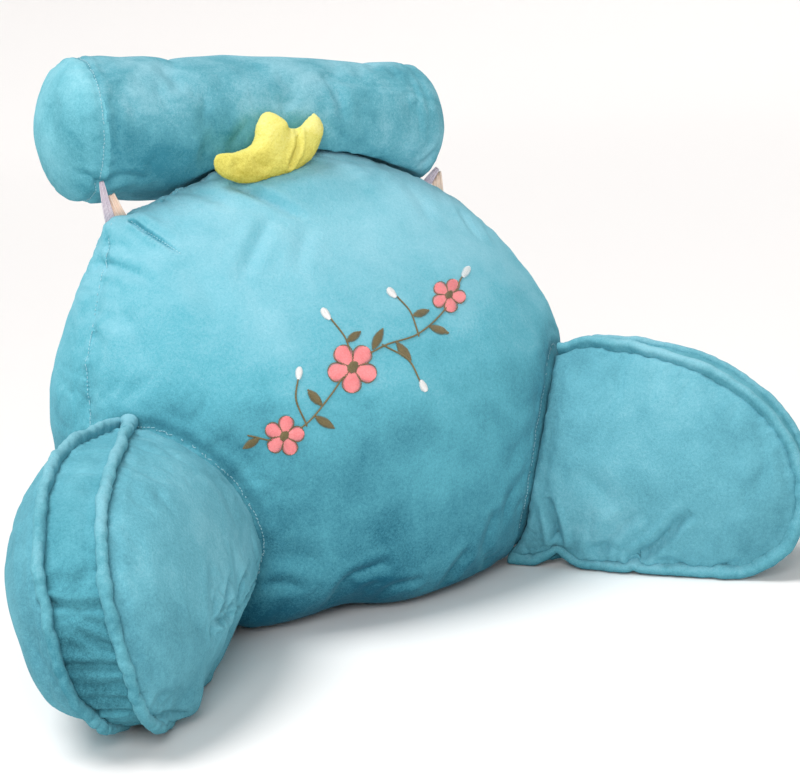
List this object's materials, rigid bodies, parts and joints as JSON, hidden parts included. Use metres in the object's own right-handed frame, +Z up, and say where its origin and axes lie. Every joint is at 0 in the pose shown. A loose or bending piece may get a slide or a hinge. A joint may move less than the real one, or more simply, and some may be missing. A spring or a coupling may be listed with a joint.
{
  "type": "reading pillow with arms",
  "caption": "Plush reading pillow: a filled backrest with two splayed filled arms, a neck roll on elastic loops and a small stuffed crown; it stands on a flat surface.",
  "frame": {"origin": "on the resting surface, under the middle of the backrest", "axes": "+X to the viewer's right across the pillow, -Y out of its front, +Z up"},
  "size_m": [0.8819, 0.5618, 0.5992],
  "materials": {
    "plush_body": "short-pile plush, soft sheen",
    "plush_arm": "short-pile plush, soft sheen",
    "plush_welt": "short-pile plush over a filled cord",
    "plush_roll": "short-pile plush, soft sheen",
    "plush_yellow": "fleecy yellow plush",
    "elastic": "ribbed woven elastic",
    "embroidery_pink": "satin stitch",
    "embroidery_brown": "satin and stem stitch",
    "embroidery_white": "satin stitch"
  },
  "bodies": {
    "root": {"backrest": "plush_body", "arm_left": "plush_arm", "arm_right": "plush_arm", "welt_left_inner": "plush_welt", "welt_left_outer": "plush_welt", "welt_right_inner": "plush_welt", "welt_right_outer": "plush_welt", "neck_roll": "plush_roll", "crown": "plush_yellow", "elastic_left": "elastic", "elastic_right": "elastic"}
  },
  "joints": []
}
